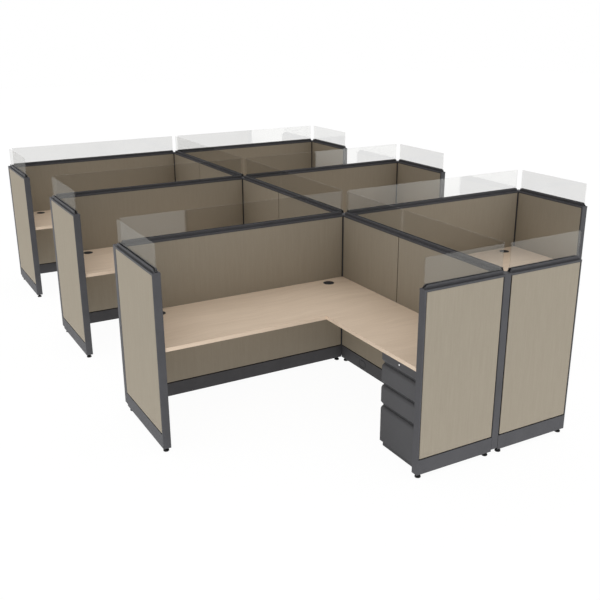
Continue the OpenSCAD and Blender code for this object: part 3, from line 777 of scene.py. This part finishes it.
# %% Raceway covers
COVER_STOPS = (0.001, HAIRLINE, TRIM_W)
COVER_T, BASE_MIDDLE = 0.002, (FLOOR_GAP + BASE_TOP) / 2
FOLD_R, COVER_R, COVER_EASE, RETURN_R = 0.0005, 0.0022, 0.001, 0.0004
OUTLET_AT, OUTLET_L, OUTLET_H, OUTLET_R = 0.320, 0.092, 0.060, 0.020
OUTLET_GROOVE, OUTLET_STEPS, BLANK_RIM = 0.005, 7, 0.0008
# Places in quarters of the way round the outer ring: halfway up its first side, where it starts
# and ends, and its four corners
CORNER_TURNS = (0, 0.5, 1.5, 2.5, 3.5, 4)


def cover(panel, face):
    """A shallow channel, carried along the panel."""
    inner = HALF - COVER_T
    profile = filleted([(CORE, FLOOR_GAP), (HALF, FLOOR_GAP), (HALF, BASE_TOP), (CORE, BASE_TOP),
        (CORE, BASE_TOP - COVER_T), (inner, BASE_TOP - COVER_T), (inner, FLOOR_GAP + COVER_T),
        (CORE, FLOOR_GAP + COVER_T)], [FOLD_R, COVER_R, COVER_R] + 5 * [FOLD_R])
    return shell(on_panel(panel, carried(profile, span(panel, COVER_STOPS), axis=0), face))


def outlet_hole():
    """Outline of the outlet's opening, in a panel's x and z."""
    middle = np.array([OUTLET_AT, BASE_MIDDLE])
    reach = np.array([OUTLET_L, OUTLET_H]) / 2
    return box_outline(middle - reach, middle + reach, OUTLET_R, OUTLET_STEPS)


def outlet_blank(panel, face):
    """A blank that fills an outlet's opening up to a groove."""
    outline = inset(outlet_hole(), OUTLET_GROOVE)
    rings = stacked(outline, rims(HALF - COVER_T, HALF, BLANK_RIM, steps=2), axis=1)
    return shell(on_panel(panel, rings, face))


def outlet_cover(panel, face):
    """A plate with a rounded opening, and the two returns behind its long edges."""
    start, stop = span(panel, COVER_STOPS)
    back, front = HALF - COVER_T, HALF - COVER_EASE
    hole = outlet_hole()
    turns = np.arange(len(hole)) / len(hole) * 4
    edge = np.stack([np.interp(turns, CORNER_TURNS, [start, start, stop, stop, start, start]),
        np.interp(turns, CORNER_TURNS, [BASE_MIDDLE, FLOOR_GAP, FLOOR_GAP, BASE_TOP, BASE_TOP,
            BASE_MIDDLE])], -1)
    eased = np.clip(edge, (start + COVER_EASE, FLOOR_GAP + COVER_EASE),
        (stop - COVER_EASE, BASE_TOP - COVER_EASE))
    layers = [(edge, back), (edge, front), (eased, HALF), (inset(hole, -COVER_EASE), HALF),
        (hole, front), (hole, back)]
    rings = np.stack([np.insert(flat, 1, y, axis=-1) for flat, y in layers])
    shells = [shell(on_panel(panel, rings, face), loop=True)]
    for low in (FLOOR_GAP, BASE_TOP - COVER_T):
        profile = box_outline((CORE, low), (back, low + COVER_T), RETURN_R, steps=1)
        shells.append(shell(on_panel(panel, carried(profile, (start, stop), axis=0), face)))
    return shells


cover_shells = [cover(p, face) for p in BACKS + WINGS + LEAD_SPINES + ENDS for face in FACES]
cover_shells += [one for p in REAR_SPINES for face in FACES for one in outlet_cover(p, face)]
covers = make_piece("dressed_raceway_covers", cover_shells, trim,
    nodes=["raceway_covers"])
# The blank stops short of the opening, and the black outlet plate behind it shows in the groove as a
# dark line. This is painted shade.
blanks = make_piece("dressed_outlet_blanks",
    [outlet_blank(p, face) for p in REAR_SPINES for face in FACES], trim)
print(covers.name, len(covers.data.polygons), "faces,", blanks.name)

# %% [markdown]
# Turned parts are rings of a circle. A glide is a domed foot under a hexagon nut on a threaded
# stem. A real thread is a helix, but on a stem that shows as a pixel or two a row of ridges looks
# the same. There are 64 glides, so each keeps few faces.

# %% Levelling glides
GLIDE_R, GLIDE_H, GLIDE_IN, PAD_ARRIS = 0.020, 0.015, 0.030, 0.001
# The dome above the pad's rim: shares of its radius and height
DOME_SHARES = ((1, 0.55), (0.8, 0.85), (0.6, 1))
STEM_R, THREAD_DEPTH, THREADS, STEM_FOOT_SHARE = 0.005, 0.0006, 8, 0.9
NUT_R, NUT_H, NUT_GAP = 0.0095, 0.006, 0.0002
ROUND, STEM_ROUND, NUT_SIDES = 20, 10, 6
PED_GLIDE_H, CASE_LOW = 0.008, 0.056
PED_U0, PED_U1, PED_V0, PED_V1 = 0.047, 0.606, 1.439, 1.820
CASE_U, PLINTH_U = 0.5835, 0.580


def turned(profile, count=ROUND):
    """Rings of a circle at each radius and height of a profile, as a surface of revolution."""
    profile = np.asarray(profile, float)
    flat = profile[:, 0][:, None, None] * circle(1, count)[None]
    height = np.broadcast_to(profile[:, 1][:, None, None], flat.shape[:2] + (1,))
    return np.concatenate([flat, height], -1)


def glide(pad_high, top):
    """Foot, nut and stem of one glide, standing at the origin."""
    foot = [(GLIDE_R - PAD_ARRIS, 0), (GLIDE_R, PAD_ARRIS)]
    foot += [(GLIDE_R * across, pad_high * up) for across, up in DOME_SHARES]
    ridge = np.arange(THREADS)
    low = pad_high * STEM_FOOT_SHARE
    climb = low + (top - low) * ridge / (THREADS - 1)
    stem = np.stack([STEM_R - THREAD_DEPTH * (ridge % 2), climb], -1)
    nut = [(NUT_R, pad_high + NUT_GAP), (NUT_R, pad_high + NUT_H)]
    return turned(foot), turned(nut, NUT_SIDES), turned(stem, STEM_ROUND)


glide_shells = [shell(on_panel(panel, part + (x, 0, 0))) for panel in PANELS
    for x in (GLIDE_IN, panel.run - GLIDE_IN) for part in glide(GLIDE_H, FLOOR_GAP)]
glide_shells += [shell(in_station(*station, part + (u, v, 0))) for station in STATIONS
    for u in (PED_U0 + GLIDE_IN, PLINTH_U - GLIDE_IN) for v in (PED_V0 + GLIDE_IN, PED_V1 - GLIDE_IN)
    for part in glide(PED_GLIDE_H, CASE_LOW)]
glides = make_piece("dressed_glides", glide_shells, black, nodes=["levelling_glides"])
print(glides.name, len(glide_shells), "skins")

# %% [markdown]
# ## The desks
#
# The laminate boards stay as the CAD model cuts them, holes and all. Their front edges get a
# moulded band with rounded corners. It has two runs that butt against each other at the inner
# corner. A bevel on the board would give the same outline, but not the fine joint between band
# and laminate.

# %% Edge bands
WS_UNDER, WS_TOP, BAND_T, BAND_R = 0.721, 0.749, 0.003, 0.0013
FRONT_V, RET_U, WS_END_U, WS_END_V = 0.776, 0.634, 1.858, 1.846
SHEET_GAP = 0.0002
# The two runs of a band, each by its low and high corner in u and v and the axis that it follows
BAND_RUNS = (((RET_U - BAND_T + SHEET_GAP, FRONT_V - BAND_T), (WS_END_U, FRONT_V), 0),
    ((RET_U - BAND_T, FRONT_V + SHEET_GAP), (RET_U, WS_END_V), 1))


def band(low, high, axis):
    """A strip with rounded corners, carried along u or v."""
    other = 1 - axis
    profile = box_outline((low[other], WS_UNDER), (high[other], WS_TOP), BAND_R, steps=4)
    return carried(profile, (low[axis], high[axis]), axis)


bands = make_piece("dressed_edge_bands",
    [shell(in_station(*station, band(*run))) for station in STATIONS for run in BAND_RUNS],
    edge_band, nodes=["edge_bands"])
print(bands.name, len(bands.data.polygons), "faces")

# %% [markdown]
# The grommets are turned: a flange with a raised rim, a shallow ring, and a cap with a domed
# middle, over a liner in the board's hole. The cap's cable slot is turned shut, so it shows only
# as a short raised tab. A lathe profile says all this in one list of radii and depths, which the
# Screw modifier could turn as well.

# %% Grommets
GROMMETS = ((0.218, 0.122), (1.654, 0.122))
HOLE_R, FLANGE_R, FLANGE_H, LINER_T = 0.0317, 0.044, 0.002, 0.003
# Radius and depth below the top: the flange's underside and rim, the ring round the cap, the cap
GROMMET_FACE = ((HOLE_R, FLANGE_H), (0.0435, FLANGE_H), (FLANGE_R, 0.0014), (0.043, 0.0003),
    (0.041, 0), (0.0335, 0), (0.0330, 0.0012), (0.0318, 0.0012), (0.0312, 0.0002), (0.029, 0),
    (0.020, 0.0004), (0.008, 0.0006))
GROMMET_ROUND = 40
TAB_HALF, TAB_NEAR, TAB_FAR, TAB_CORNER, TAB_T, TAB_RIM = 0.009, 0.014, 0.024, 0.003, 0.001, 0.0004


def grommet(place):
    """Face, tab and liner of one grommet, at its place in u and v."""
    u, v = place
    top = WS_TOP + FLANGE_H
    inner = HOLE_R - LINER_T
    face = [(radius, top - depth) for radius, depth in GROMMET_FACE]
    liner = [(inner, WS_UNDER), (HOLE_R, WS_UNDER), (HOLE_R, WS_TOP), (inner, WS_TOP)]
    tab = box_outline((u - TAB_HALF, v + TAB_NEAR), (u + TAB_HALF, v + TAB_FAR), TAB_CORNER)
    return ((turned(face, GROMMET_ROUND) + (u, v, 0), False),
        (turned(liner, GROMMET_ROUND) + (u, v, 0), True),
        (stacked(tab, rims(top - TAB_T, top, TAB_RIM, steps=1)), False))


grommets = make_piece("dressed_grommets",
    [shell(in_station(*station, rings), loop) for station in STATIONS for place in GROMMETS
        for rings, loop in grommet(place)], dark_grey, nodes=["grommets"])
print(grommets.name, len(grommets.data.polygons), "faces")

# %% [markdown]
# ## The drawers
#
# A drawer front is one profile, carried across the pedestal: flat in front, with a rounded pull
# along its top. Over it, the next front's lower edge slopes back, so the two make a groove for
# the fingers. A groove painted on would stay flat in the light. A flange stands behind the gap
# between two fronts, as the fold that stiffens a sheet steel front does.

# %% Drawer fronts
RAIL_Z, BOX_PITCH, BOX_DRAWERS = 0.629, 0.153, 2
FRONT_T, FRONT_GAP, PULL_H, PULL_D, BEVEL_H = 0.022, 0.009, 0.024, 0.020, 0.025
FLANGE_PLAY, FRONT_ARRIS, ROUND_POINTS = 0.0012, 0.0003, 9


def drawer_heights(n):
    """Lower and upper limit of drawer n's space, counted from the top."""
    high = RAIL_Z - n * BOX_PITCH
    return (high - BOX_PITCH if n < BOX_DRAWERS else CASE_LOW), high


def rounded_pull(high):
    """A quarter of an ellipse in u and z. It starts upright in the front's face and ends level at
    the pull's depth behind it."""
    t = np.linspace(0, math.pi / 2, ROUND_POINTS)
    return np.stack([PED_U1 - PULL_D * (1 - np.cos(t)), high - PULL_H * (1 - np.sin(t))], -1)


def drawer_front(n):
    """The front's profile in u and z, carried along v with eased ends: back, foot, face, pull and
    flange. A box drawer's foot slopes, and the pull rolls back from the face towards the gap over
    it. The flange stands behind that gap and nearly fills it."""
    low, space_high = drawer_heights(n)
    high = space_high - FRONT_GAP
    back, groove = PED_U1 - FRONT_T, PED_U1 - PULL_D
    foot = [(groove, low), (PED_U1, low + BEVEL_H)] if n < BOX_DRAWERS else [(PED_U1, low)]
    flange_high = high + FRONT_GAP - FLANGE_PLAY
    corners = [(back, low), *foot, *rounded_pull(high), (groove, flange_high), (back, flange_high)]
    ends = rims(PED_V0, PED_V1, FRONT_ARRIS, steps=1)
    return stacked(filleted(corners, FRONT_ARRIS, steps=2), ends, axis=1)


print("the grooves are", PULL_D * 1000, "mm deep")

# %% [markdown]
# Behind the front sits a tray of folded sheet. Solidify could give a sheet its thickness, but the
# rolled rim needs rings of its own. The tray hangs between two slides.

# %% Trays
SIDE_DROP, FLOOR_RISE, BACK_GAP, SKIN = 0.045, 0.014, 0.030, 0.002
PED_WALL, SLIDE_T, SLIDE_H, SLIDE_LEN, SLIDE_PLAY = 0.003, 0.006, 0.040, 0.490, 0.0005
TRAY_CORNER, TRAY_FOOT, ROLL_R = 0.006, 0.002, 0.0006


def tray(n):
    """A folded tray: rings go round its foot, up outside, over the rolled rim and down inside."""
    low, high = drawer_heights(n)
    inner = PED_WALL + SHEET_GAP + SLIDE_T + SLIDE_PLAY + SLIDE_T + SHEET_GAP
    outline = box_outline((PED_U0 + PED_WALL + BACK_GAP, PED_V0 + inner),
        (PED_U1 - FRONT_T - SHEET_GAP, PED_V1 - inner), TRAY_CORNER)
    z0, z1 = low + FLOOR_RISE, high - SIDE_DROP
    return stacked(outline, [(z0, TRAY_FOOT), (z0 + TRAY_FOOT, 0), (z1 - ROLL_R, 0), (z1, ROLL_R),
        (z1, SKIN - ROLL_R), (z1 - ROLL_R, SKIN), (z0 + SKIN, SKIN)])


print("a tray is", SKIN * 1000, "mm sheet")

# %% [markdown]
# A slide is a pair of rolled channels that face each other, one on the case and one on the tray.
# Channels are rolled from strip, so a profile that is carried along says all of their shape.

# %% Slides
SLIDE_LIP, SLIDE_WALL, SLIDE_R = 0.0045, 0.0015, 0.0003


def slide_rail(v, low, facing):
    """A rolled channel, open to one side, carried along u."""
    a, b = (v, v + SLIDE_T) if facing > 0 else (v + SLIDE_T, v)
    w, lip, wall = SLIDE_WALL * facing, SLIDE_LIP, SLIDE_WALL
    z0, z1 = low, low + SLIDE_H
    profile = filleted([(a, z0), (b, z0), (b, z0 + lip), (b - w, z0 + lip), (b - w, z0 + wall),
        (a + w, z0 + wall), (a + w, z1 - wall), (b - w, z1 - wall), (b - w, z1 - lip), (b, z1 - lip),
        (b, z1), (a, z1)], SLIDE_R, steps=1)
    return carried(profile, (CASE_U - SLIDE_LEN, CASE_U), axis=0)


def slides(n, moving):
    """The two rails on the case beside drawer n, or the two that move with its tray."""
    low, high = drawer_heights(n)
    rise = low + FLOOR_RISE + (high - low - FLOOR_RISE - SIDE_DROP) / 2 - SLIDE_H / 2
    step, facing = (SLIDE_T + SLIDE_PLAY, -1) if moving else (0, 1)
    near = PED_V0 + PED_WALL + SHEET_GAP + step
    far = PED_V1 - PED_WALL - SHEET_GAP - SLIDE_T - step
    return slide_rail(near, rise, facing), slide_rail(far, rise, -facing)


print("slides are", SLIDE_LEN * 1000, "mm long")

# %% [markdown]
# Front, tray and moving rails ride on the drawer's own body, so they travel together when it
# opens. The rails on the cases stay behind.

# %% Drawers
DRAWERS = ("upper_drawer", "middle_drawer", "file_drawer")
for station in STATIONS:
    row, side = station
    for n, kind in enumerate(DRAWERS):
        node = f"{ROWS[row]}_{SIDES[side]}_{kind}"
        make_piece(node + "_front", [shell(in_station(*station, drawer_front(n)))], pedestal_paint,
            node, [node])
        make_piece(node + "_tray", [shell(in_station(*station, tray(n)))], pedestal_paint,
            node)
        make_piece(node + "_slides", [shell(in_station(*station, rail)) for rail in slides(n, True)],
            zinc, node)
fixed = [shell(in_station(*station, rail)) for station in STATIONS for n in range(len(DRAWERS))
    for rail in slides(n, False)]
make_piece("dressed_case_slides", fixed, zinc, nodes=["case_slides"])
print(3 * len(STATIONS) * len(DRAWERS), "drawer pieces,", len(fixed), "rails on the cases")

# %% [markdown]
# A lock plug is a chromed core in a black collar, with a cam behind. The core's rings go from its
# back to its face, where they narrow to the outline of the key slot, and down to the slot's floor.
# The ring of a circle starts half a step past the left, so that its points pair up with the
# slot's. A picture of a key slot would vanish when the plug turns aside. Core, collar and cam all
# ride on the plug's own body.

# %% Lock plugs
LOCK_V, LOCK_Z, LOCK_R, CORE_R = 1.6295, 0.682, 0.0095, 0.0074
LOCK_LEN, LOCK_PROUD, FACE_RISE, FACE_IN = 0.024, 0.002, 0.0008, 0.001
KEY_W, KEY_H, KEY_DEPTH, KEY_R = 0.002, 0.008, 0.002, 0.0008
CAM_REACH, CAM_W, CAM_T, CAM_R = 0.014, 0.009, 0.002, 0.004
COLLAR_PLAY, COLLAR_BACK, COLLAR_EASE, COLLAR_ROUND = 0.0002, 0.0006, 0.0005, 28


def in_lock(row, side, rings):
    """Rings of points across the plug and along it, turned to lie along u behind the rail's face."""
    return in_station(row, side, np.stack([PED_U1 + rings[..., 2], LOCK_V + rings[..., 0],
        LOCK_Z + rings[..., 1]], -1))


def lock_core():
    """Back, side and face of the core, then the key slot."""
    slot = box_outline((-KEY_W / 2, -KEY_H / 2), (KEY_W / 2, KEY_H / 2), KEY_R, steps=5)
    angle = (np.arange(len(slot)) + 0.5) / len(slot) * 2 * math.pi - math.pi
    ring = np.stack([np.cos(angle), np.sin(angle)], -1)
    layers = [(CORE_R * ring, -LOCK_LEN), (CORE_R * ring, LOCK_PROUD - FACE_RISE),
        ((CORE_R - FACE_IN) * ring, LOCK_PROUD), (slot, LOCK_PROUD), (slot, LOCK_PROUD - KEY_DEPTH)]
    return np.stack([np.insert(flat, 2, h, axis=-1) for flat, h in layers])


def lock_collar():
    """A ring round the core with an eased front edge."""
    inner, face = CORE_R + COLLAR_PLAY, LOCK_PROUD - COLLAR_BACK
    return turned([(LOCK_R, -LOCK_LEN), (LOCK_R, face - COLLAR_EASE), (LOCK_R - COLLAR_EASE, face),
        (inner + COLLAR_EASE, face), (inner, face - COLLAR_EASE), (inner, -LOCK_LEN)], COLLAR_ROUND)


cam = carried(box_outline((-CAM_W / 2, -CAM_REACH), (CAM_W / 2, 0), CAM_R),
    (-LOCK_LEN - CAM_T, -LOCK_LEN), axis=2)
for row, side in STATIONS:
    node = f"{ROWS[row]}_{SIDES[side]}_lock_plug"
    make_piece(node + "_core", [shell(in_lock(row, side, rings)) for rings in (lock_core(), cam)],
        chrome, node, [node])
    make_piece(node + "_collar", [shell(in_lock(row, side, lock_collar()), loop=True)], black,
        node)
print(2 * len(STATIONS), "lock pieces")

# %% [markdown]
# The rest of the CAD solids are right as they are: frames that only show in the grooves, boards,
# pedestal cases, brackets and the plates behind the outlets. They keep their meshes and get the
# finishes made above. The frames' steel is near-black, so the grooves read as dark lines: painted
# shade over the steel's own dark tone.

# %% Finishes of the CAD solids that stay
# The outlet plates are black so that the groove round each blank reads dark. This is painted shade.
KEPT = {"frames": groove_shade_steel, "worksurface": laminate, "pedestal_case": pedestal_paint,
    "cantilever_brackets": groove_shade_steel, "outlet_plates": black}
for name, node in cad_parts.items():
    for ending, material in KEPT.items():
        if name.endswith(ending):
            for slot in node.material_slots:
                slot.material = material
print("kept:", ", ".join(KEPT))

# %% [markdown]
# ## Floor and light
#
# The photograph stands on pure white, with light coming up from below as well as from above. Area
# lamps round the pod could give that, but their own outlines would show in the sheets. So the
# floor glows for the light it gives: brightly all round the pod, and less within its outline,
# where a real floor lies in its shadow. The camera sees the floor as white with only a trace of
# the pod's shadow: Light Path tells its rays apart. Mixing in a little of the matt floor would
# grey it, so the white is made just strong enough to make up for that. In the photograph the
# sheets mirror something brighter than white when they mirror the distance, as from lamps that
# stand low and far off, so mirrors see the floor grow brighter outwards.

# %% Floor
FLOOR_HALF, FLOOR_GREY = 30.0, 0.8
# Distance out from the pod's outline, and the glow there for the light that the floor gives
FLOOR_GLOW = ((-0.2, 0.66), (0.0, 1.53))
# Distance out from the pod's long sides, and the glow there for mirrors
MIRRORED = ((1.7, 1.1), (3.9, 2.0))
# Share of the matt floor in what the camera sees, and how bright the open matt floor is
SHADOW_SHARE, OPEN_FLOOR = 0.08, 0.5
WHITE = (1, 1, 1, 1)
floor_mesh = bpy.data.meshes.new("floor")
floor_mesh.from_pydata([(-FLOOR_HALF, -FLOOR_HALF, 0), (FLOOR_HALF, -FLOOR_HALF, 0),
    (FLOOR_HALF, FLOOR_HALF, 0), (-FLOOR_HALF, FLOOR_HALF, 0)], [], [(0, 1, 2, 3)])
floor = bpy.data.objects.new("floor", floor_mesh)
bpy.context.collection.objects.link(floor)


def seen_white(tree):
    """1 for camera and transmission rays, 0 for other rays; and all the kinds of ray."""
    path = put(tree, "LightPath").outputs
    return maths(tree, "MAXIMUM", path["Is Camera Ray"], path["Is Transmission Ray"]), path


def by_distance(tree, distance, near, far):
    """A strength that runs straight from one pair of distance and strength to another."""
    return between(tree, distance, near[0], far[0], near[1], far[1])


floor_look, tree, shader = finish("floor", 1.0, 0.0)
shader.inputs["Base Color"].default_value = (FLOOR_GREY, FLOOR_GREY, FLOOR_GREY, 1)
white = put(tree, "Emission", WHITE, (1 - SHADOW_SHARE * OPEN_FLOOR) / (1 - SHADOW_SHARE))
faint = put(tree, "MixShader", 1 - SHADOW_SHARE, shader.outputs[0], white.outputs[0])
axes = room(tree)[1]
out_x, out_y = (maths(tree, "SUBTRACT", maths(tree, "ABSOLUTE", axes[i]), cad_high[i]) for i in (0, 1))
directly, path = seen_white(tree)
glow = by_distance(tree, maths(tree, "MAXIMUM", out_x, out_y), *FLOOR_GLOW)
mirrored = by_distance(tree, out_x, *MIRRORED)
gain = maths(tree, "SUBTRACT", mirrored, glow)
lamp = put(tree, "Emission", WHITE, maths(tree, "MULTIPLY_ADD", gain, path["Is Glossy Ray"], glow))
switch = put(tree, "MixShader", directly, lamp.outputs[0], faint.outputs[0])
tree.links.new(switch.outputs[0], tree.nodes["Material Output"].inputs["Surface"])
floor_mesh.materials.append(floor_look)
print("floor share of shadow:", SHADOW_SHARE)

# %% [markdown]
# The rest of the light in the photograph is soft and comes from above: little from near the
# horizon, most from a wide ring round the zenith. A sky picture would bring tints of its own, so
# the world's strength is read off the height of each direction with a colour ramp. The camera and
# mirrors see it white.

# %% Studio light
# Height of a direction (the sine of its elevation) and the light's strength from there
SKY = ((0.0, 0.11), (0.06, 0.13), (0.15, 0.18), (0.3, 0.28), (0.5, 0.46), (0.68, 0.7), (0.8, 1.2),
    (0.9, 1.2), (0.95, 0.6), (1.0, 0.6))
# The ramp holds strengths as shares of this
SKY_TOP = 1.5
world = bpy.data.worlds.new("studio")
bpy.context.scene.world = world
world.use_nodes = True
tree = world.node_tree
direction = put(tree, "TexCoord").outputs["Generated"]
height = put(tree, "SeparateXYZ", direction).outputs[2]
ramp = put(tree, "ValToRGB", height)
stops = ramp.color_ramp.elements
ready = len(stops)
for index, (place, strength) in enumerate(SKY):
    stop = stops[index] if index < ready else stops.new(place)
    stop.position = place
    grey = strength / SKY_TOP
    stop.color = (grey, grey, grey, 1)
carried_light = maths(tree, "MULTIPLY", ramp.outputs[0], SKY_TOP)
directly, path = seen_white(tree)
seen = maths(tree, "MAXIMUM", directly, path["Is Glossy Ray"])
missing = maths(tree, "SUBTRACT", 1.0, carried_light)
around = tree.nodes["Background"]
around.inputs["Color"].default_value = WHITE
tree.links.new(maths(tree, "MULTIPLY_ADD", missing, seen, carried_light), around.inputs["Strength"])
print("sky stops:", len(stops))
